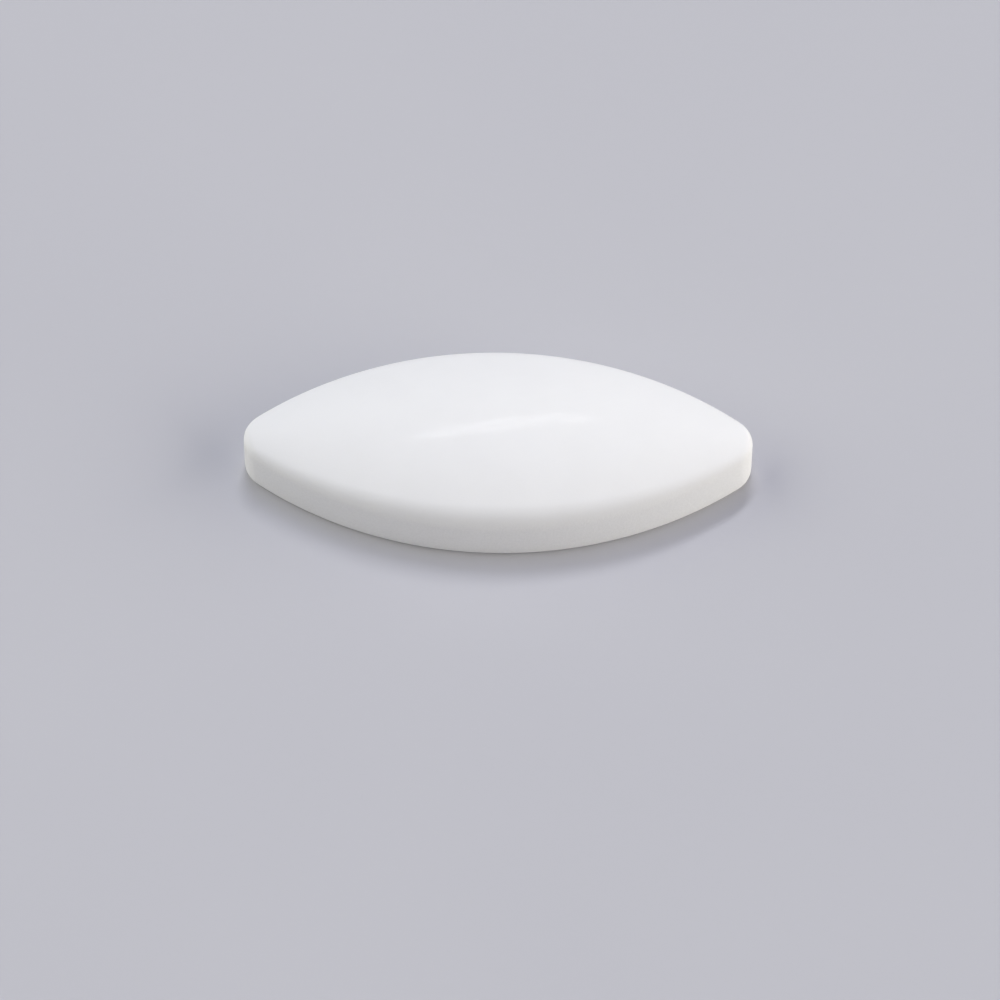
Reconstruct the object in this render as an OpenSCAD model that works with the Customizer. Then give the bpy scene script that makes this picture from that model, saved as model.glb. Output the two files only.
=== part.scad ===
// Magnetic stir bar, olive pattern.
// A moulded white fluoropolymer jacket with a pointed-oval plan is sealed round a rod magnet.
// The bar lies along X and rests on its flat underside. The origin is under its middle, and +Z is up.

/* [Bar] */
// Length over both noses
bar_l = 25; // [20:0.5:40]
// Width across the middle
bar_w = 10.5; // [8:0.25:14]
// Radius of each nose, seen from above
nose_r = 1.6; // [1.5:0.05:2.5]
// Height at which crown and side wall would meet in the middle of the bar if that edge were left sharp
rim_h = 2.8; // [2.6:0.1:6]
// How much lower they would meet where the oval comes to a point
nose_drop = 0.45; // [0:0.05:0.8]
// Rise of the crown above that edge, in the middle of the bar
crown_rise = 1.5; // [1:0.1:3]
// Radius of the soft shoulder between side wall and crown, in the middle of the bar
shoulder_r = 1.4; // [0.6:0.05:2]
// Radius that the shoulder tapers to where the oval comes to a point
nose_shoulder_r = 0.5; // [0.3:0.05:1]
// Radius of the small edge round the underside
foot_r = 0.25; // [0.1:0.05:0.5]

/* [Magnet] */
// Diameter of the rod magnet
magnet_d = 2.5; // [1.5:0.1:2.6]
// Length of the rod magnet
magnet_l = 15; // [8:0.5:16]
// Chamfer on the rod's end edges
magnet_chamfer = 0.3; // [0.1:0.05:0.5]
// Jacket left under the rod
floor_t = 0.75; // [0.5:0.05:0.9]
// Gap between the rod and the jacket moulded round it
seat_gap = 0.02; // [0.01:0.01:0.05]

/* [Smoothness] */
// Steps along each long side
side_steps = 32; // [16:2:40]
// Steps round half of each nose
nose_steps = 6; // [4:1:8]
// Steps over the shoulder
shoulder_steps = 8; // [5:1:10]
// Steps from one shoulder to the other, across the crown
crown_steps = 16; // [8:2:20]
// Steps round the underside's edge
foot_steps = 3; // [2:1:5]

/* [Hidden] */

jacket_colour = "whitesmoke";
magnet_colour = "dimgray";

half_l = bar_l / 2;
half_w = bar_w / 2;
// Each long side is one arc that runs into both nose arcs without a kink.
side_r = (half_l ^ 2 - 2 * half_l * nose_r + half_w ^ 2) / (bar_w - 2 * nose_r);
side_y = side_r - half_w;
nose_x = half_l - nose_r;
join_angle = atan2(side_y, nose_x);
// Largest share of an arc's radius that the shoulder on it may take, so that it doesn't fold over itself.
fold_limit = 0.9;
// Passes that settle where the shoulder ends. Each one leaves a third of the error or less.
settle_passes = 8;
rod_z = floor_t + seat_gap + magnet_d / 2;
rod_facets = 64;

// One arc of the outline as steps of [centre x, centre y, radius, direction of its outward normal].
function arc_steps(x, y, r, from, to, count) =
    [for (i = [0:count - 1]) [x, y, r, from + (to - from) * i / count]];

// The whole outline, anticlockwise from the tip of the right nose. Its two halves mirror each other.
outline = concat(
    arc_steps(nose_x, 0, nose_r, 0, join_angle, nose_steps),
    arc_steps(0, -side_y, side_r, join_angle, 180 - join_angle, side_steps),
    arc_steps(-nose_x, 0, nose_r, 180 - join_angle, 180, nose_steps),
    arc_steps(-nose_x, 0, nose_r, 180, 180 + join_angle, nose_steps),
    arc_steps(0, side_y, side_r, 180 + join_angle, 360 - join_angle, side_steps),
    arc_steps(nose_x, 0, nose_r, 360 - join_angle, 360, nose_steps)
);
outline_count = len(outline);
left_tip = outline_count / 2;

// Point of the plan at one step of the outline, moved inwards by inset.
function inset_point(step, inset) =
    [step[0] + (step[2] - inset) * cos(step[3]), step[1] + (step[2] - inset) * sin(step[3])];

// Half the width of the pointed oval that the two side arcs make before the noses round it off.
function oval_half_width(x) = sqrt(side_r ^ 2 - x ^ 2) - side_y;

// That width as a share of the width in the middle. It is 0 where the oval comes to a point.
function width_share(x) = oval_half_width(x) / half_w;

// Height of the crown. Every cross-section is the same parabola, scaled to the width there.
function crown_z(p) =
    let (w = oval_half_width(p[0]))
    rim_h - nose_drop * (1 - width_share(p[0])) + crown_rise * (w - p[1] ^ 2 / w) / half_w;

// How fast the crown falls in the direction of the outline's outward normal.
function crown_fall(p, normal) =
    let (
        w = oval_half_width(p[0]),
        dw_dx = -p[0] / sqrt(side_r ^ 2 - p[0] ^ 2),
        dz_dx = dw_dx * (nose_drop + crown_rise * (1 + (p[1] / w) ^ 2)) / half_w,
        dz_dy = -2 * crown_rise * p[1] / w / half_w
    )
    -(dz_dx * cos(normal) + dz_dy * sin(normal));

// Radius of the shoulder at one step of the outline. It tapers with the width of the oval.
function shoulder_radius(step) =
    let (taper = nose_shoulder_r + (shoulder_r - nose_shoulder_r) * width_share(inset_point(step, 0)[0]))
    min(taper, fold_limit * step[2]);

// Angle through which the shoulder turns from the upright wall until it lies along the crown.
function shoulder_turn(step, r, turn = 90, passes = settle_passes) =
    passes == 0 ? turn :
    let (
        p = inset_point(step, r * (1 - cos(turn))),
        fall = max(crown_fall(p, step[3]), 0)
    )
    shoulder_turn(step, r, atan2(1, fall), passes - 1);

// [radius, turn, height at which the upright wall ends] of the shoulder at each step of the outline.
shoulder = [
    for (step = outline)
        let (
            r = shoulder_radius(step),
            turn = shoulder_turn(step, r),
            p = inset_point(step, r * (1 - cos(turn)))
        )
        [r, turn, crown_z(p) - r * sin(turn)]
];

// Ring of the rounded edge under the wall: 0 degrees lies on the floor, 90 meets the wall.
function foot_ring(angle) = [
    for (step = outline)
        let (p = inset_point(step, foot_r * (1 - sin(angle))))
        [p[0], p[1], foot_r * (1 - cos(angle))]
];

// Ring of the shoulder: part 0 is the top of the wall, part 1 lies on the crown.
function shoulder_ring(part) = [
    for (i = [0:outline_count - 1])
        let (
            r = shoulder[i][0],
            turn = shoulder[i][1] * part,
            p = inset_point(outline[i], r * (1 - cos(turn)))
        )
        [p[0], p[1], shoulder[i][2] + r * sin(turn)]
];

rings = concat(
    [for (i = [0:foot_steps]) foot_ring(90 * i / foot_steps)],
    [for (i = [0:shoulder_steps]) shoulder_ring(i / shoulder_steps)]
);
last_ring = len(rings) - 1;

// Points of the crown, on ribs that run straight across from the back shoulder to the front one.
crown_points = [
    for (rib = [1:left_tip - 1], j = [1:crown_steps - 1])
        let (
            edge = rings[last_ring][rib],
            p = [edge[0], edge[1] * (1 - 2 * j / crown_steps)]
        )
        [p[0], p[1], crown_z(p)]
];

// Number of a ring's point in the list, where the outline closes on itself.
function on_ring(ring, i) = ring * outline_count + i % outline_count;

// Number of a rib's point. A rib starts and ends on the last ring, and at each nose it is one point.
function on_rib(rib, j) =
    rib == 0 || rib == left_tip || j == 0 ? on_ring(last_ring, rib) :
    j == crown_steps ? on_ring(last_ring, outline_count - rib) :
    len(rings) * outline_count + (rib - 1) * (crown_steps - 1) + j - 1;

// The triangles of a patch a, b, c, d. At a nose's tip two of its corners are one, and it has only one.
function patch(a, b, c, d) = concat(a == b ? [] : [[a, b, c]], c == d ? [] : [[a, c, d]]);

// The whole outer form of the bar as one closed skin.
module bar_form() {
    points = concat([for (ring = rings) each ring], crown_points);
    underside = [[for (i = [0:outline_count - 1]) on_ring(0, i)]];
    sides = [
        for (ring = [0:last_ring - 1], i = [0:outline_count - 1])
            each patch(on_ring(ring, i), on_ring(ring + 1, i), on_ring(ring + 1, i + 1), on_ring(ring, i + 1))
    ];
    crown = [
        for (rib = [0:left_tip - 1], j = [0:crown_steps - 1])
            each patch(on_rib(rib, j), on_rib(rib, j + 1), on_rib(rib + 1, j + 1), on_rib(rib + 1, j))
    ];
    polyhedron(points = points, faces = concat(underside, sides, crown), convexity = 4);
}

// A rod along X at the magnet's place, grown by margin on every side.
module rod(margin) {
    r = magnet_d / 2 + margin;
    end = magnet_l / 2 + margin;
    translate([0, 0, rod_z])
        rotate([0, 90, 0])
            rotate_extrude($fn = rod_facets)
                polygon([
                    [0, -end],
                    [r - magnet_chamfer, -end],
                    [r, -end + magnet_chamfer],
                    [r, end - magnet_chamfer],
                    [r - magnet_chamfer, end],
                    [0, end]
                ]);
}

module jacket() {
    color(jacket_colour)
        difference() {
            bar_form();
            rod(seat_gap);
        }
}

module magnet() {
    color(magnet_colour)
        rod(0);
}

jacket();
magnet();
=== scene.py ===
"""Magnetic stir bar of the olive pattern: a moulded white fluoropolymer jacket round a rod magnet.

The bar lies along X and rests on its flat underside. The origin is under its middle, +Z is up, and
every length is in metres. The jacket is modelled here as one smooth skin that stands for the CAD
jacket. The magnet sealed inside it is the CAD rod with a finish of its own.
"""

import logging
import math
from contextlib import contextmanager
from dataclasses import dataclass
from enum import Enum
from typing import Any, Callable, Iterator

import bmesh
import bpy
from mathutils import Matrix, Vector


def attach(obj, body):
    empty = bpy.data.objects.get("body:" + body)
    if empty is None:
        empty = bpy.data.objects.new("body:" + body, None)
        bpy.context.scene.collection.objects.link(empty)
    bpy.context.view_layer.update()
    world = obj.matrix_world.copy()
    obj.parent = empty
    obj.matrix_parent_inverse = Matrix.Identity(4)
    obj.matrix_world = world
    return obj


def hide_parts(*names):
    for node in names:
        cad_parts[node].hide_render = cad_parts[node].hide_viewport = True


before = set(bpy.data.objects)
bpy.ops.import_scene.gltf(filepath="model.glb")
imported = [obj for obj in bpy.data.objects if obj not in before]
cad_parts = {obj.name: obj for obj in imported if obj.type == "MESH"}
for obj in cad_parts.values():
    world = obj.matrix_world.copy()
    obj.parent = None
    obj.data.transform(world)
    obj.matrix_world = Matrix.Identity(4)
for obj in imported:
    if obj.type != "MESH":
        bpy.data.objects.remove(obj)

LOG = logging.getLogger("stir_bar")
MM = 0.001

Colour = tuple[float, float, float]
Pair = tuple[float, float]
Point = tuple[float, float, float]
Test = Callable[[Any], bool]


# ---------------------------------------------------------------------------------------------
# Working in edit mode
# ---------------------------------------------------------------------------------------------


class Kind(Enum):
    """What a selection is made of."""

    VERTEX = "VERT"
    EDGE = "EDGE"
    FACE = "FACE"


class Bench:
    """The tools that shape a mesh. Each tool works on what is selected."""

    MERGE = 0.0005 * MM

    @staticmethod
    def take(piece: bpy.types.Object) -> None:
        """Leave edit mode, and make one piece the only selected and active object.

        Args:
            piece: The piece.
        """
        if bpy.context.object is not None and bpy.context.object.mode != "OBJECT":
            bpy.ops.object.mode_set(mode="OBJECT")
        bpy.ops.object.select_all(action="DESELECT")
        piece.select_set(True)
        bpy.context.view_layer.objects.active = piece

    @staticmethod
    @contextmanager
    def editing(piece: bpy.types.Object) -> Iterator[None]:
        """Hold one piece in edit mode, with nothing selected at first.

        Args:
            piece: The mesh object to work on.
        """
        Bench.take(piece)
        bpy.ops.object.mode_set(mode="EDIT")
        bpy.ops.mesh.select_all(action="DESELECT")
        yield
        bpy.ops.object.mode_set(mode="OBJECT")

    @staticmethod
    def pick(piece: bpy.types.Object, kind: Kind, wanted: Test) -> int:
        """Select the vertices, edges or faces that pass a test of their place.

        Args:
            piece: The piece in edit mode.
            kind: What to select.
            wanted: The test.

        Returns:
            How many are selected.
        """
        bpy.ops.mesh.select_mode(type=kind.value)
        bpy.ops.mesh.select_all(action="DESELECT")
        mesh = bmesh.from_edit_mesh(piece.data)
        parts = {Kind.VERTEX: mesh.verts, Kind.EDGE: mesh.edges, Kind.FACE: mesh.faces}[kind]
        chosen = [part for part in parts if wanted(part)]
        for part in chosen:
            part.select = True
        mesh.select_flush_mode()
        bmesh.update_edit_mesh(piece.data)
        return len(chosen)

    @staticmethod
    def spin(angle: float, steps: int, centre: Point, axis: Point) -> None:
        """Spin what is selected anticlockwise about an axis. The end of the spin stays selected.

        Args:
            angle: How far it turns, in degrees.
            steps: How many steps it takes.
            centre: A point on the axis.
            axis: The direction of the axis.
        """
        # Without a window the operator turns clockwise for a positive angle.
        bpy.ops.mesh.spin(steps=steps, angle=-math.radians(angle), center=centre, axis=axis)

    @staticmethod
    def extrude(step: Point) -> None:
        """Extrude what is selected by one step. The new end stays selected."""
        bpy.ops.mesh.extrude_region_move(TRANSFORM_OT_translate={"value": step})

    @staticmethod
    def apply_modifiers(piece: bpy.types.Object) -> None:
        """Apply every modifier of a piece, in order.

        Args:
            piece: The piece.
        """
        Bench.take(piece)
        for modifier in list(piece.modifiers):
            bpy.ops.object.modifier_apply(modifier=modifier.name)

    @staticmethod
    def settle(piece: bpy.types.Object) -> None:
        """Put a piece's place, turn and scale into its mesh."""
        Bench.take(piece)
        bpy.ops.object.transform_apply(location=True, rotation=True, scale=True)


# ---------------------------------------------------------------------------------------------
# The form of the bar
# ---------------------------------------------------------------------------------------------


@dataclass(frozen=True)
class Rib:
    """One upright section of the skin, at one step of the outline.

    Attributes:
        centre: Plan centre of the arc that the step is on.
        radius: Radius of that arc.
        angle: Direction of the outline's outward normal, in degrees.
    """

    centre: Pair
    radius: float
    angle: float

    @property
    def normal(self) -> Vector:
        """Outward normal of the outline here, in plan."""
        return Vector((math.cos(math.radians(self.angle)), math.sin(math.radians(self.angle))))

    @property
    def axis(self) -> Point:
        """Level axis that the rib's rounded edges turn about, from the underside outwards and up."""
        return (self.normal.y, -self.normal.x, 0.0)

    def inset(self, depth: float) -> Vector:
        """Return the plan point that lies a depth inside the outline here."""
        return Vector(self.centre) + (self.radius - depth) * self.normal

    def holds(self, vertex: bmesh.types.BMVert) -> bool:
        """Say whether a vertex stands on this rib."""
        offset = self.inset(0.0) - vertex.co.xy
        return abs(offset.cross(self.normal)) < Bench.MERGE


@dataclass(frozen=True)
class BarForm:
    """Sizes of the moulded form, and what follows from them."""

    length: float = 25 * MM
    width: float = 10.5 * MM
    nose_radius: float = 1.6 * MM
    rim_height: float = 2.8 * MM
    crown_rise: float = 1.5 * MM
    shoulder_radius: float = 1.4 * MM
    nose_shoulder_radius: float = 0.5 * MM
    nose_drop: float = 0.45 * MM
    foot_radius: float = 0.25 * MM
    settle_passes: int = 10

    @property
    def half_length(self) -> float:
        """Half the length over both noses."""
        return self.length / 2

    @property
    def half_width(self) -> float:
        """Half the width across the middle."""
        return self.width / 2

    @property
    def side_radius(self) -> float:
        """Radius of each long side, which runs into both nose arcs without a kink."""
        over = self.half_length**2 - 2 * self.half_length * self.nose_radius + self.half_width**2
        return over / (self.width - 2 * self.nose_radius)

    @property
    def side_offset(self) -> float:
        """How far beyond the bar's axis the centre of each long side lies."""
        return self.side_radius - self.half_width

    @property
    def nose_offset(self) -> float:
        """How far from the middle the centre of each nose lies."""
        return self.half_length - self.nose_radius

    @property
    def join_angle(self) -> float:
        """Direction of the normal where a nose runs into a long side, in degrees."""
        return math.degrees(math.atan2(self.side_offset, self.nose_offset))

    def oval_half_width(self, x: float) -> float:
        """Return half the width of the pointed oval that the two side arcs make at x."""
        return math.sqrt(self.side_radius**2 - x**2) - self.side_offset

    def crown_height(self, point: Vector) -> float:
        """Work out the height of the crown.

        Args:
            point: The plan point to look at.

        Returns:
            The height over that point.
        """
        reach = self.oval_half_width(point.x)
        rim = self.rim_height - self.nose_drop * (1 - reach / self.half_width)
        return rim + self.crown_rise * (reach - point.y**2 / reach) / self.half_width

    def crown_fall(self, point: Vector, normal: Vector) -> float:
        """Work out how steeply the crown falls.

        Args:
            point: The plan point to look at.
            normal: The direction to look in, in plan.

        Returns:
            The fall for each unit of length in that direction.
        """
        reach = self.oval_half_width(point.x)
        narrowing = -point.x / math.sqrt(self.side_radius**2 - point.x**2)
        rise = self.nose_drop + self.crown_rise * (1 + (point.y / reach) ** 2)
        along_x = rise * narrowing / self.half_width
        along_y = -2 * self.crown_rise * point.y / reach / self.half_width
        return -(along_x * normal.x + along_y * normal.y)

    def shoulder(self, rib: Rib) -> tuple[float, float, float]:
        """Settle where a rib's shoulder leaves the wall and where it lies down on the crown.

        Args:
            rib: The rib.

        Returns:
            The shoulder's radius, the height of the upright wall, and the angle of the turn in degrees.
        """
        local_width = self.oval_half_width(rib.inset(0.0).x) / self.half_width
        radius = self.nose_shoulder_radius + (self.shoulder_radius - self.nose_shoulder_radius) * local_width
        turn = 90.0
        for _ in range(self.settle_passes):
            point = rib.inset(radius * (1 - math.cos(math.radians(turn))))
            turn = math.degrees(math.atan2(1, max(self.crown_fall(point, rib.normal), 0)))
        point = rib.inset(radius * (1 - math.cos(math.radians(turn))))
        return radius, self.crown_height(point) - radius * math.sin(math.radians(turn)), turn


@dataclass(frozen=True)
class CrownSheet:
    """The crown as a bare sheet, which the skin is drawn down on. It is thrown away after use."""

    form: BarForm
    steps_along: int = 120
    steps_across: int = 40

    def build(self) -> bpy.types.Object:
        """Make the sheet: a flat grid is arched, and each of its ribs is drawn in to the oval's width.

        Returns:
            The sheet.
        """
        form = self.form
        bpy.ops.object.select_all(action="DESELECT")
        bpy.ops.mesh.primitive_grid_add(
            x_subdivisions=self.steps_along,
            y_subdivisions=self.steps_across,
            size=1,
            location=(0, 0, form.rim_height),
        )
        sheet = bpy.context.object
        sheet.scale = (form.length, form.width, 1)
        Bench.settle(sheet)
        with Bench.editing(sheet):
            self.arch(sheet)
            self.draw_in(sheet)
        return sheet

    def arch(self, sheet: bpy.types.Object) -> None:
        """Raise each lengthwise row to its height on the middle section's parabola.

        Args:
            sheet: The sheet in edit mode.
        """
        form = self.form
        for row in range(1, self.steps_across):
            y = form.half_width * (2 * row / self.steps_across - 1)
            Bench.pick(sheet, Kind.VERTEX, lambda vertex: abs(vertex.co.y - y) < Bench.MERGE)
            rise = form.crown_rise * (1 - (y / form.half_width) ** 2)
            bpy.ops.transform.translate(value=(0, 0, rise))

    def draw_in(self, sheet: bpy.types.Object) -> None:
        """Scale each crosswise rib about its foot to the width of the oval there, and lower it.

        Args:
            sheet: The sheet in edit mode.
        """
        form = self.form
        for rib in range(self.steps_along + 1):
            x = form.half_length * (2 * rib / self.steps_along - 1)
            Bench.pick(sheet, Kind.VERTEX, lambda vertex: abs(vertex.co.x - x) < Bench.MERGE)
            share = form.oval_half_width(x) / form.half_width
            bpy.ops.transform.resize(value=(1, share, share), center_override=(x, 0, form.rim_height))
            bpy.ops.transform.translate(value=(0, 0, -form.nose_drop * (1 - share)))


@dataclass(frozen=True)
class MouldedJacket:
    """The white jacket: one closed skin with a wall on tangent arcs, a rolled shoulder and a crown.

    A quarter of the outline is spun, a rib is raised at each of its steps, the ribs are bridged and
    the quarter is mirrored twice. The underside and the crown are then filled with a grid.
    """

    form: BarForm
    finish: "WhiteFluoropolymer"
    nose_steps: int = 6
    side_steps: int = 16
    foot_steps: int = 3
    wall_steps: int = 5
    shoulder_steps: int = 8
    smoothing: int = 2

    @property
    def ribs(self) -> list[Rib]:
        """List the ribs of one quarter.

        Returns:
            The ribs, from the tip of the nose to the middle of the side.
        """
        form = self.form
        join = form.join_angle
        nose = [Rib((form.nose_offset, 0), form.nose_radius, join * i / self.nose_steps)
                for i in range(self.nose_steps)]
        side = [Rib((0, -form.side_offset), form.side_radius, join + (90 - join) * i / self.side_steps)
                for i in range(self.side_steps + 1)]
        return nose + side

    def build(self) -> bpy.types.Object:
        """Model the jacket.

        Returns:
            The finished piece.
        """
        piece = self.lay_outline()
        with Bench.editing(piece):
            for rib in self.ribs:
                self.raise_rib(piece, rib)
            for rib, following in zip(self.ribs, self.ribs[1:]):
                self.bridge(piece, rib, following)
        self.mirror(piece)
        self.fill_underside(piece)
        self.fill_crown(piece)
        self.smooth(piece)
        return piece

    def lay_outline(self) -> bpy.types.Object:
        """Spin a quarter of the underside's outline: half of one nose, then half of one long side.

        Returns:
            The piece, as a chain of edges on the floor.
        """
        form = self.form
        bpy.ops.object.select_all(action="DESELECT")
        bpy.ops.mesh.primitive_circle_add(
            vertices=4, radius=form.nose_radius - form.foot_radius, location=(form.nose_offset, 0, 0)
        )
        piece = bpy.context.object
        piece.name = piece.data.name = "moulded_jacket"
        Bench.settle(piece)
        with Bench.editing(piece):
            Bench.pick(piece, Kind.VERTEX, lambda vertex: vertex.co.x < form.nose_offset + form.foot_radius)
            bpy.ops.mesh.delete(type="VERT")
            bpy.ops.mesh.select_all(action="SELECT")
            up = (0, 0, 1)
            Bench.spin(form.join_angle, self.nose_steps, (form.nose_offset, 0, 0), up)
            Bench.spin(90 - form.join_angle, self.side_steps, (0, -form.side_offset, 0), up)
        return piece

    def raise_rib(self, piece: bpy.types.Object, rib: Rib) -> None:
        """Raise one rib from the outline: round the foot, up the wall and over the shoulder.

        Args:
            piece: The piece in edit mode.
            rib: The rib to raise.
        """
        form = self.form
        radius, wall_top, turn = form.shoulder(rib)
        Bench.pick(piece, Kind.VERTEX, rib.holds)
        Bench.spin(90, self.foot_steps, (*rib.inset(form.foot_radius), form.foot_radius), rib.axis)
        for _ in range(self.wall_steps):
            Bench.extrude((0, 0, (wall_top - form.foot_radius) / self.wall_steps))
        Bench.spin(turn, self.shoulder_steps, (*rib.inset(radius), wall_top), rib.axis)

    def bridge(self, piece: bpy.types.Object, rib: Rib, following: Rib) -> None:
        """Bridge two neighbouring ribs with a strip of faces.

        Args:
            piece: The piece in edit mode.
            rib: The first of them.
            following: The one after it.
        """
        Bench.pick(
            piece,
            Kind.EDGE,
            lambda edge: any(all(map(side.holds, edge.verts)) for side in (rib, following)),
        )
        bpy.ops.mesh.bridge_edge_loops()

    def mirror(self, piece: bpy.types.Object) -> None:
        """Mirror the quarter to the other side and the other end.

        Args:
            piece: The jacket.
        """
        modifier = piece.modifiers.new("mirror", "MIRROR")
        modifier.use_axis = (True, True, False)
        modifier.merge_threshold = Bench.MERGE
        Bench.apply_modifiers(piece)

    def fill_underside(self, piece: bpy.types.Object) -> None:
        """Fill the flat underside with a grid.

        Args:
            piece: The jacket.
        """
        with Bench.editing(piece):
            lowest = Bench.MERGE
            join = self.ribs[self.nose_steps].inset(self.form.foot_radius).x - Bench.MERGE
            Bench.pick(
                piece,
                Kind.EDGE,
                lambda edge: edge.is_boundary
                and all(vertex.co.z < lowest and abs(vertex.co.x) > join for vertex in edge.verts),
            )
            bpy.ops.mesh.fill_grid()

    def fill_crown(self, piece: bpy.types.Object) -> None:
        """Fill the top with a grid, and draw it down on the sheet of the crown.

        Args:
            piece: The jacket.
        """
        form = self.form
        join_rib = self.ribs[self.nose_steps]
        radius, _, turn = form.shoulder(join_rib)
        Bench.take(piece)
        join = join_rib.inset(radius * (1 - math.cos(math.radians(turn)))).x - Bench.MERGE
        bpy.ops.object.vertex_group_add()
        with Bench.editing(piece):
            Bench.pick(
                piece,
                Kind.EDGE,
                lambda edge: edge.is_boundary and all(abs(vertex.co.x) > join for vertex in edge.verts),
            )
            bpy.ops.mesh.fill_grid()
            bpy.ops.object.vertex_group_assign()
        sheet = CrownSheet(form).build()
        modifier = piece.modifiers.new("draw down", "SHRINKWRAP")
        modifier.target = sheet
        modifier.vertex_group = piece.vertex_groups.active.name
        modifier.wrap_method = "PROJECT"
        modifier.use_project_z = True
        modifier.use_negative_direction = True
        Bench.apply_modifiers(piece)
        bpy.ops.object.vertex_group_remove(all=True)
        bpy.data.objects.remove(sheet)

    def smooth(self, piece: bpy.types.Object) -> None:
        """Turn the normals outwards and smooth the skin.

        Args:
            piece: The jacket.
        """
        with Bench.editing(piece):
            bpy.ops.mesh.select_all(action="SELECT")
            bpy.ops.mesh.remove_doubles(threshold=Bench.MERGE)
            bpy.ops.mesh.normals_make_consistent(inside=False)
        modifier = piece.modifiers.new("smooth", "SUBSURF")
        modifier.levels = modifier.render_levels = self.smoothing
        Bench.apply_modifiers(piece)
        bpy.ops.object.shade_smooth()

    def dress(self, piece: bpy.types.Object) -> None:
        """Give the skin its finish, and let it stand for the CAD jacket.

        Args:
            piece: The jacket.
        """
        piece.data.materials.append(self.finish.build())
        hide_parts("jacket")
        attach(piece, "root")


# ---------------------------------------------------------------------------------------------
# Surface effects that several finishes share
# ---------------------------------------------------------------------------------------------


class Wiring:
    """Adds the nodes of one node tree and joins them."""

    def __init__(self, tree: bpy.types.NodeTree) -> None:
        """Start on a node tree.

        Args:
            tree: The tree of a material, a world or a group.
        """
        self.tree = tree

    def add(self, kind: str, inputs: dict[str | int, Any] | None = None, **settings: Any) -> bpy.types.Node:
        """Add a node.

        Args:
            kind: The node's type.
            inputs: What each of its inputs takes: a plain value, or the output of another node.
            settings: The node's own settings.

        Returns:
            The node.
        """
        node = self.tree.nodes.new(kind)
        for name, value in settings.items():
            setattr(node, name, value)
        for name, value in (inputs or {}).items():
            self.feed(node.inputs[name], value)
        return node

    def feed(self, socket: bpy.types.NodeSocket, value: Any) -> None:
        """Give an input a plain value, or join another node's output to it.

        Args:
            socket: The input.
            value: The plain value, or the output.
        """
        if isinstance(value, bpy.types.NodeSocket):
            self.tree.links.new(value, socket)
        else:
            socket.default_value = value

    def between(self, value: bpy.types.NodeSocket, start: float, end: float,
                low: float = 0.0, high: float = 1.0) -> bpy.types.NodeSocket:
        """Turn a span of one value into a span of another, with soft ends.

        Args:
            value: The value to read.
            start: Where the span that is read begins.
            end: Where it ends.
            low: What the beginning becomes.
            high: What the end becomes.

        Returns:
            The new value.
        """
        node = self.add(
            "ShaderNodeMapRange",
            {"Value": value, "From Min": start, "From Max": end, "To Min": low, "To Max": high},
            interpolation_type="SMOOTHSTEP",
        )
        return node.outputs["Result"]

    def maths(self, operation: str, *values: Any) -> bpy.types.NodeSocket:
        """Work out one number from others."""
        node = self.add("ShaderNodeMath", dict(enumerate(values)), operation=operation)
        return node.outputs[0]

    def vector_maths(self, operation: str, inputs: dict[str | int, Any]) -> bpy.types.NodeSocket:
        """Work out one vector from others."""
        return self.add("ShaderNodeVectorMath", inputs, operation=operation).outputs[0]

    def blend(self, share: Any, first: Colour, second: Colour) -> bpy.types.NodeSocket:
        """Blend two colours by a share, where 0 gives the first one."""
        node = self.add("ShaderNodeMix", {0: share, 6: (*first, 1), 7: (*second, 1)}, data_type="RGBA")
        return node.outputs[2]


class Effect(Enum):
    """The surface effects that are kept as node groups."""

    GRAIN = "moulding grain"
    HAIRLINES = "hairlines"


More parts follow.
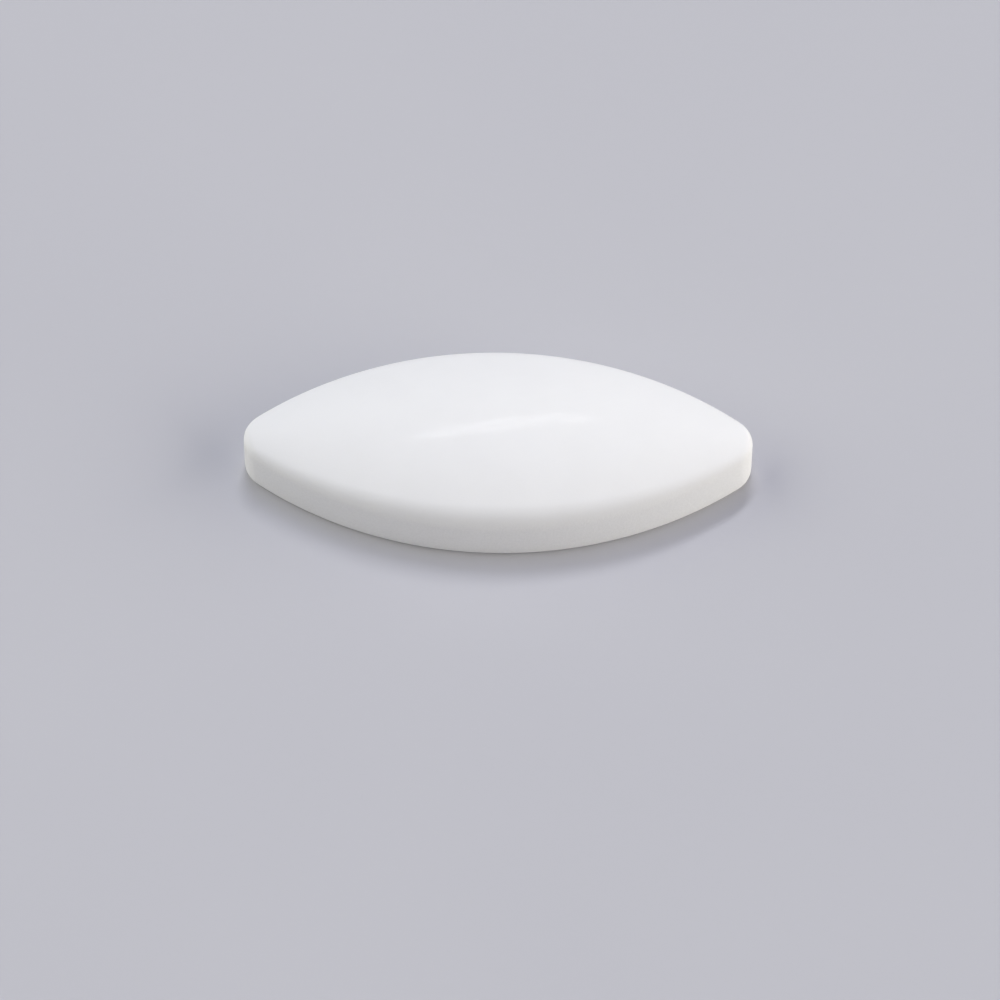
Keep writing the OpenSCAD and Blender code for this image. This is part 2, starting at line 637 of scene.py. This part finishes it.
class EffectShelf:
    """Builds each surface effect once, and hands out the one group to every finish.

    A span is the part of a noise's values that becomes 0 to 1.
    """

    RELIEF_SPAN: Pair = (0.25, 0.75)
    CLOUD_SPAN: Pair = (0.3, 0.7)
    WIPE_SPAN: Pair = (0.4, 0.6)
    MIDDLE = 0.5
    PATCH_SCALE = 0.37
    PATCH_EDGE = 0.12
    BARE_LEVEL = 0.85
    SHARE_STEP = 0.6

    @classmethod
    def take(cls, effect: Effect) -> bpy.types.NodeTree:
        """Return the group of an effect, which is built when it is first asked for."""
        group = bpy.data.node_groups.get(effect.value)
        return group or {Effect.GRAIN: cls.build_grain, Effect.HAIRLINES: cls.build_hairlines}[effect]()

    @staticmethod
    def open_group(
        effect: Effect, inputs: dict[str, float | None], outputs: list[str]
    ) -> tuple[bpy.types.NodeTree, Wiring, bpy.types.Node, bpy.types.Node]:
        """Start a group with its sockets.

        Args:
            effect: The effect, which names the group.
            inputs: The default of each number that the group takes. None stands for a vector.
            outputs: The numbers that it puts out.

        Returns:
            The group, its wiring, its input node and its output node.
        """
        group = bpy.data.node_groups.new(effect.value, "ShaderNodeTree")
        for name, default in inputs.items():
            kind = "NodeSocketVector" if default is None else "NodeSocketFloat"
            socket = group.interface.new_socket(name, in_out="INPUT", socket_type=kind)
            if default is not None:
                socket.default_value = default
        for name in outputs:
            group.interface.new_socket(name, in_out="OUTPUT", socket_type="NodeSocketFloat")
        wiring = Wiring(group)
        return group, wiring, wiring.add("NodeGroupInput"), wiring.add("NodeGroupOutput")

    @classmethod
    def build_grain(cls) -> bpy.types.NodeTree:
        """Build the grain: a fine relief, and soft clouds that are much larger.

        Returns:
            The group.
        """
        group, wiring, taken, given = cls.open_group(
            Effect.GRAIN, {"Vector": None, "Grain Size": 0.2 * MM, "Cloud Size": 3 * MM}, ["Height", "Cloud"]
        )
        place = taken.outputs["Vector"]
        per_grain = wiring.maths("DIVIDE", 1.0, taken.outputs["Grain Size"])
        per_cloud = wiring.maths("DIVIDE", 1.0, taken.outputs["Cloud Size"])
        grains = wiring.vector_maths("SCALE", {0: place, "Scale": per_grain})
        clouds = wiring.vector_maths("SCALE", {0: place, "Scale": per_cloud})
        relief = wiring.add("ShaderNodeTexNoise",
                            {"Vector": grains, "Scale": 1.0, "Detail": 3.0, "Roughness": 0.6})
        cloud = wiring.add("ShaderNodeTexNoise",
                           {"Vector": clouds, "Scale": 1.0, "Detail": 2.0, "Roughness": 0.5})
        wiring.feed(given.inputs["Height"], wiring.between(relief.outputs["Fac"], *cls.RELIEF_SPAN))
        wiring.feed(given.inputs["Cloud"], wiring.between(cloud.outputs["Fac"], *cls.CLOUD_SPAN))
        return group

    @classmethod
    def build_hairlines(cls) -> bpy.types.NodeTree:
        """Build the hairlines: thin marks that run one way and fade out, in broader wipes.

        Returns:
            The group.
        """
        group, wiring, taken, given = cls.open_group(
            Effect.HAIRLINES,
            {"Vector": None, "Spacing": 0.5 * MM, "Stretch": 14.0, "Turn": 0.0, "Width": 0.02, "Share": 0.4},
            ["Mark", "Wipe"],
        )
        turned = wiring.add(
            "ShaderNodeVectorRotate",
            {"Vector": taken.outputs["Vector"], "Angle": taken.outputs["Turn"]},
            rotation_type="Z_AXIS",
        )
        per_line = wiring.maths("DIVIDE", 1.0, taken.outputs["Spacing"])
        along = wiring.maths("DIVIDE", per_line, taken.outputs["Stretch"])
        steps = wiring.add("ShaderNodeCombineXYZ", {"X": along, "Y": per_line, "Z": per_line})
        drawn = wiring.vector_maths("MULTIPLY", {0: turned.outputs["Vector"], 1: steps.outputs["Vector"]})
        noise = wiring.add("ShaderNodeTexNoise",
                           {"Vector": drawn, "Scale": 1.0, "Detail": 1.0, "Roughness": 0.4})
        off_line = wiring.maths("ABSOLUTE", wiring.maths("SUBTRACT", noise.outputs["Fac"], cls.MIDDLE))
        line = wiring.between(wiring.maths("DIVIDE", off_line, taken.outputs["Width"]), 0.0, 1.0, 1.0, 0.0)
        where = wiring.add("ShaderNodeTexNoise", {"Vector": drawn, "Scale": cls.PATCH_SCALE, "Detail": 0.0})
        lowered = wiring.maths("MULTIPLY", cls.SHARE_STEP, taken.outputs["Share"])
        least = wiring.maths("SUBTRACT", cls.BARE_LEVEL, lowered)
        patch = wiring.maths("SUBTRACT", where.outputs["Fac"], least)
        carried = wiring.between(patch, 0.0, cls.PATCH_EDGE)
        wiring.feed(given.inputs["Mark"], wiring.maths("MULTIPLY", line, carried))
        wiring.feed(given.inputs["Wipe"], wiring.between(noise.outputs["Fac"], *cls.WIPE_SPAN))
        return group


@dataclass(frozen=True)
class Grain:
    """The grain as one finish wants it.

    Attributes:
        size: Size of the fine relief.
        cloud_size: Size of the soft clouds.
    """

    size: float
    cloud_size: float

    def lay(self, paint: "Paint") -> bpy.types.Node:
        """Add the grain to a material, and return its node."""
        return paint.add_effect(Effect.GRAIN, {"Grain Size": self.size, "Cloud Size": self.cloud_size})


@dataclass(frozen=True)
class Hairlines:
    """The hairlines as one finish wants them.

    Attributes:
        spacing: How far apart they lie.
        stretch: How many times longer than apart they are.
        turn: Direction that they run in, in degrees anticlockwise from +X.
        width: Width of a mark, as a share of the spacing.
        share: Share of the surface that carries marks.
    """

    spacing: float
    stretch: float
    turn: float
    width: float
    share: float

    def lay(self, paint: "Paint") -> bpy.types.Node:
        """Add the hairlines to a material, and return their node."""
        return paint.add_effect(
            Effect.HAIRLINES,
            {
                "Spacing": self.spacing,
                "Stretch": self.stretch,
                "Turn": -math.radians(self.turn),
                "Width": self.width,
                "Share": self.share,
            },
        )


# ---------------------------------------------------------------------------------------------
# Finishes
# ---------------------------------------------------------------------------------------------


class Paint:
    """A new material, ready to be wired up."""

    def __init__(self, name: str) -> None:
        """Make the material.

        Args:
            name: Its name.
        """
        self.material = bpy.data.materials.new(name)
        self.material.use_nodes = True
        self.wiring = Wiring(self.material.node_tree)
        self.shader = self.material.node_tree.nodes["Principled BSDF"]
        self.place = self.wiring.add("ShaderNodeTexCoord").outputs["Object"]

    def add_effect(self, effect: Effect, inputs: dict[str, float]) -> bpy.types.Node:
        """Add one of the shared effects at the object's own scale.

        Args:
            effect: The effect.
            inputs: Its numbers.

        Returns:
            The effect's node.
        """
        group = EffectShelf.take(effect)
        return self.wiring.add("ShaderNodeGroup", {"Vector": self.place, **inputs}, node_tree=group)

    def feed(self, inputs: dict[str, Any]) -> None:
        """Give the shader's inputs their plain values, or join other nodes' outputs to them.

        Args:
            inputs: What each of its inputs takes.
        """
        for name, value in inputs.items():
            self.wiring.feed(self.shader.inputs[name], value)

    def emboss(self, height: bpy.types.NodeSocket) -> None:
        """Tilt the shading by a relief whose height is given in metres."""
        bump = self.wiring.add("ShaderNodeBump", {"Height": height, "Distance": 1.0, "Strength": 1.0})
        self.feed({"Normal": bump.outputs["Normal"]})


@dataclass(frozen=True)
class WhiteFluoropolymer:
    """Moulded white fluoropolymer: satin, waxy, with a burnished crown and a slightly grainier wall. The
    wall's fine pores also make the whole wall a little darker than the crown, which is painted shade.

    Attributes:
        white, shade: The colour, and what it drifts towards.
        cloud_share, pore_and_wall_shade_share: How far soft clouds and the wall's fine pores take it there.
            The pores also darken the whole wall a little, which is painted shade.
        roughness: Lowest and highest roughness, which the grain sets.
        ior: Index of refraction.
        specular_level: Strength of the plain gloss, where 0.5 is that of a polished face.
        sheen_weight: Weight of the burnished film on top of the crown.
        sheen_roughness: Roughness of that film.
        shoulder_from, shoulder_to: Heights between which the crown's smoothness takes over from the wall's.
        sheen_from, sheen_to: Heights between which the burnished film sets in.
        grain: The moulding grain.
        wall_relief, crown_relief: Depth of the grain on the wall and on the crown.
        hairlines: The fine marks of wiping.
        mark_depth: Depth of those marks.
        mark_wear, wipe_wear: Share of the film that the marks and the gaps between wipes take away.
    """

    white: Colour = (0.9, 0.901, 0.896)
    shade: Colour = (0.85, 0.851, 0.848)
    cloud_share: float = 0.2
    pore_and_wall_shade_share: float = 0.8
    roughness: Pair = (0.64, 0.74)
    ior: float = 1.36
    specular_level: float = 0.12
    sheen_weight: float = 0.12
    sheen_roughness: float = 0.09
    shoulder_from: float = 1.9 * MM
    shoulder_to: float = 2.9 * MM
    sheen_from: float = 3.2 * MM
    sheen_to: float = 3.9 * MM
    grain: Grain = Grain(size=0.11 * MM, cloud_size=2.2 * MM)
    wall_relief: float = 0.004 * MM
    crown_relief: float = 0.0012 * MM
    hairlines: Hairlines = Hairlines(spacing=0.28 * MM, stretch=7.0, turn=20.0, width=0.018, share=0.5)
    mark_depth: float = 0.001 * MM
    mark_wear: float = 0.6
    wipe_wear: float = 0.65

    def build(self) -> bpy.types.Material:
        """Make the material.

        Returns:
            The material.
        """
        paint = Paint("white_fluoropolymer")
        wiring = paint.wiring
        height = wiring.add("ShaderNodeSeparateXYZ", {0: paint.place}).outputs["Z"]
        grain = self.grain.lay(paint).outputs
        lines = self.hairlines.lay(paint).outputs
        wall = wiring.between(height, self.shoulder_from, self.shoulder_to, 1.0, 0.0)
        relief = wiring.between(wall, 0, 1, self.crown_relief, self.wall_relief)
        clouds = wiring.maths("MULTIPLY", grain["Cloud"], self.cloud_share)
        # The wall's fine pores are a random grain. They also darken the whole wall a little, which is painted
        # shade on the wall.
        pores_and_wall_shade = wiring.maths("MULTIPLY", wiring.maths("MULTIPLY", grain["Height"], wall), self.pore_and_wall_shade_share)
        film = wiring.between(height, self.sheen_from, self.sheen_to, 0.0, self.sheen_weight)
        unmarked = wiring.between(lines["Mark"], 0, 1, 1.0, 1 - self.mark_wear)
        wiped = wiring.between(lines["Wipe"], 0, 1, 1 - self.wipe_wear, 1.0)
        marks = wiring.maths("MULTIPLY", lines["Mark"], self.mark_depth)
        paint.feed({
            "Base Color": wiring.blend(wiring.maths("ADD", clouds, pores_and_wall_shade), self.white, self.shade),
            "Roughness": wiring.between(grain["Height"], 0, 1, *self.roughness),
            "IOR": self.ior,
            "Specular IOR Level": self.specular_level,
            "Coat Weight": wiring.maths("MULTIPLY", film, wiring.maths("MULTIPLY", unmarked, wiped)),
            "Coat Roughness": self.sheen_roughness,
            "Coat IOR": self.ior,
        })
        paint.emboss(wiring.maths("SUBTRACT", wiring.maths("MULTIPLY", grain["Height"], relief), marks))
        return paint.material


@dataclass(frozen=True)
class CastAlnico:
    """Cast and ground alnico: a dark grey metal with a fine cast grain and grinding lines.

    Attributes:
        grey, dull: The colour, and what it drifts to in soft clouds.
        roughness: Lowest and highest roughness, which the grain sets.
        grain: The cast grain.
        relief: Depth of the grain.
        lines: The grinding lines.
        line_depth: Depth of those lines.
    """

    grey: Colour = (0.37, 0.37, 0.38)
    dull: Colour = (0.29, 0.29, 0.3)
    roughness: Pair = (0.36, 0.56)
    grain: Grain = Grain(size=0.12 * MM, cloud_size=1.5 * MM)
    relief: float = 0.004 * MM
    lines: Hairlines = Hairlines(spacing=0.12 * MM, stretch=20.0, turn=0.0, width=0.05, share=0.9)
    line_depth: float = 0.003 * MM

    def build(self) -> bpy.types.Material:
        """Make the material.

        Returns:
            The material.
        """
        paint = Paint("cast_alnico")
        wiring = paint.wiring
        grain = self.grain.lay(paint).outputs
        cuts = wiring.maths("MULTIPLY", self.lines.lay(paint).outputs["Mark"], self.line_depth)
        paint.feed({
            "Base Color": wiring.blend(grain["Cloud"], self.grey, self.dull),
            "Roughness": wiring.between(grain["Height"], 0, 1, *self.roughness),
            "Metallic": 1.0,
        })
        paint.emboss(wiring.maths("SUBTRACT", wiring.maths("MULTIPLY", grain["Height"], self.relief), cuts))
        return paint.material


@dataclass(frozen=True)
class BenchTop:
    """The pale cool grey bench top that the bar lies on: dull, with a faint grain.

    Attributes:
        grey, drift: The colour, and what it drifts to in soft clouds.
        roughness: Lowest and highest roughness, which the grain sets.
        specular_level: Strength of its gloss, where 0.5 is that of a polished face.
        grain: The grain.
        relief: Depth of the grain.
    """

    grey: Colour = (0.55, 0.55, 0.58)
    drift: Colour = (0.54, 0.54, 0.572)
    roughness: Pair = (0.72, 0.8)
    specular_level: float = 0.2
    grain: Grain = Grain(size=0.6 * MM, cloud_size=30 * MM)
    relief: float = 0.002 * MM

    def build(self) -> bpy.types.Material:
        """Make the material.

        Returns:
            The material.
        """
        paint = Paint("bench_top")
        wiring = paint.wiring
        grain = self.grain.lay(paint).outputs
        paint.feed({
            "Base Color": wiring.blend(grain["Cloud"], self.grey, self.drift),
            "Roughness": wiring.between(grain["Height"], 0, 1, *self.roughness),
            "Specular IOR Level": self.specular_level,
        })
        paint.emboss(wiring.maths("MULTIPLY", grain["Height"], self.relief))
        return paint.material


# ---------------------------------------------------------------------------------------------
# The magnet
# ---------------------------------------------------------------------------------------------


@dataclass(frozen=True)
class SealedMagnet:
    """The rod magnet inside the jacket. Its shape is the CAD rod's."""

    finish: CastAlnico

    def dress(self) -> bpy.types.Object:
        """Give the rod its finish.

        Returns:
            The rod.
        """
        rod = bpy.data.objects["magnet"]
        material = self.finish.build()
        if not rod.material_slots:
            rod.data.materials.append(material)
        for place in rod.material_slots:
            place.material = material
        return rod


# ---------------------------------------------------------------------------------------------
# Stage
# ---------------------------------------------------------------------------------------------


def direction(azimuth: float, elevation: float) -> Vector:
    """Return the unit vector towards a direction.

    Args:
        azimuth: Degrees from +X, anticlockwise from above.
        elevation: Degrees above the floor.
    """
    turn, lift = math.radians(azimuth), math.radians(elevation)
    return Vector((math.cos(turn) * math.cos(lift), math.sin(turn) * math.cos(lift), math.sin(lift)))


class Front(Enum):
    """What the glowing front of a softbox looks like."""

    ROUND = "ELLIPSE"
    STRIP = "RECTANGLE"


@dataclass(frozen=True)
class Softbox:
    """A broad soft lamp that faces the bar.

    Attributes:
        name: What it is called.
        azimuth, elevation: Where it stands, in degrees.
        width, height: Its size, in metres.
        power: Its power in watts, for each colour.
        front: Shape of its glowing front.
        roll: How far it is turned about its own axis, in degrees.
        distance: How far it stands from the bar, in metres.
    """

    name: str
    azimuth: float
    elevation: float
    width: float
    height: float
    power: Colour
    front: Front = Front.ROUND
    roll: float = 0.0
    distance: float = 2.0

    def build(self) -> bpy.types.Object:
        """Make the lamp.

        Returns:
            The lamp.
        """
        data = bpy.data.lights.new(self.name, "AREA")
        data.shape = self.front.value
        data.size, data.size_y = self.width, self.height
        data.energy = max(self.power)
        data.color = [share / data.energy for share in self.power]
        lamp = bpy.data.objects.new(self.name, data)
        away = direction(self.azimuth, self.elevation)
        lamp.location = away * self.distance
        turn = away.to_track_quat("Z", "Y").to_matrix().to_4x4()
        lamp.rotation_euler = (turn @ Matrix.Rotation(math.radians(self.roll), 4, "Z")).to_euler()
        lamp.visible_camera = False
        bpy.context.scene.collection.objects.link(lamp)
        return lamp


@dataclass(frozen=True)
class Viewpoint:
    """The camera: its place round the bar, and the bar's place in the picture.

    Attributes:
        elevation, azimuth: Where it stands, in degrees.
        distance: How far it stands from what it aims at.
        aim_height: Height of what it aims at, over the origin.
        lens, sensor_width: Its focal length and the width of its sensor, in millimetres.
        roll: How far it is turned about its own axis, in degrees.
        shift: Its shift, as a share of the picture's width.
        reach: Nearest and farthest distance that it sees.
    """

    elevation: float = 55.0
    azimuth: float = -89.38
    distance: float = 0.3
    aim_height: float = 2 * MM
    lens: float = 219.9
    roll: float = 0.14
    sensor_width: float = 36.0
    shift: Pair = (0.0019, -0.056)
    reach: Pair = (0.01, 20.0)

    def build(self) -> None:
        """Make the camera and look through it."""
        away = direction(self.azimuth, self.elevation)
        data = bpy.data.cameras.new("view")
        data.lens = self.lens
        data.sensor_width = self.sensor_width
        data.shift_x, data.shift_y = self.shift
        data.clip_start, data.clip_end = self.reach
        camera = bpy.data.objects.new("view", data)
        camera.location = Vector((0, 0, self.aim_height)) + self.distance * away
        turn = (-away).to_track_quat("-Z", "Y").to_matrix().to_4x4()
        camera.rotation_euler = (turn @ Matrix.Rotation(math.radians(self.roll), 4, "Z")).to_euler()
        bpy.context.scene.collection.objects.link(camera)
        bpy.context.scene.camera = camera


@dataclass(frozen=True)
class Studio:
    """The bench top, the pale surroundings and the lamps.

    Attributes:
        floor_size: Length of each side of the floor.
        floor_finish: Its finish.
        backdrop: What the surroundings look like to the camera and in reflections.
        ambient: The light that they give to everything else.
        lamps: The lamps.
    """

    floor_size: float = 4.0
    floor_finish: BenchTop = BenchTop()
    backdrop: Colour = (0.54, 0.54, 0.58)
    ambient: Colour = (0.0, 0.0, 0.0)
    lamps: tuple[Softbox, ...] = (
        Softbox("right_key", -6, 22, 3.0, 1.5, (42.0, 40.3, 37.1)),
        Softbox("left_key", 170, 36, 2.6, 2.0, (28.2, 28.0, 25.2)),
        Softbox("front_fill", 252, 35, 3.0, 2.0, (6.7, 6.6, 7.0)),
        Softbox("back_top", 90, 75, 1.25, 1.25, (0.0, 0.7, 4.3)),
        Softbox("sheen_strip", 86.4, 58.1, 0.675, 0.233, (10.6, 10.6, 10.8), Front.STRIP, roll=49),
        Softbox("sheen_end", 107.3, 66.5, 0.163, 0.15, (1.9, 1.9, 1.9), Front.STRIP),
    )

    def build(self) -> None:
        """Make the floor, the surroundings and the lamps."""
        self.lay_floor()
        self.surround()
        for lamp in self.lamps:
            lamp.build()
        bpy.context.scene.view_settings.view_transform = "Standard"

    def lay_floor(self) -> None:
        """Lay the bench top under the bar."""
        bpy.ops.object.select_all(action="DESELECT")
        bpy.ops.mesh.primitive_plane_add(size=self.floor_size)
        floor = bpy.context.object
        floor.name = floor.data.name = "floor"
        floor.data.materials.append(self.floor_finish.build())

    def surround(self) -> None:
        """Show pale surroundings to the camera and in reflections. They light the bar by ambient alone."""
        world = bpy.data.worlds.new("surroundings")
        bpy.context.scene.world = world
        world.use_nodes = True
        wiring = Wiring(world.node_tree)
        path = wiring.add("ShaderNodeLightPath")
        mirrored = wiring.maths("MAXIMUM", path.outputs["Is Glossy Ray"], path.outputs["Is Transmission Ray"])
        seen = wiring.maths("MAXIMUM", path.outputs["Is Camera Ray"], mirrored)
        background = world.node_tree.nodes["Background"]
        wiring.feed(background.inputs["Color"], wiring.blend(seen, self.ambient, self.backdrop))


def main() -> None:
    """Build the bar, its stage and its lighting."""
    logging.basicConfig(level=logging.INFO, format="%(message)s")
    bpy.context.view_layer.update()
    bar = MouldedJacket(BarForm(), WhiteFluoropolymer())
    jacket = bar.build()
    bar.dress(jacket)
    LOG.info("%s: %d faces", jacket.name, len(jacket.data.polygons))
    rod = SealedMagnet(CastAlnico()).dress()
    LOG.info("%s: dressed", rod.name)
    Studio().build()
    Viewpoint().build()


if __name__ == "__main__":
    main()
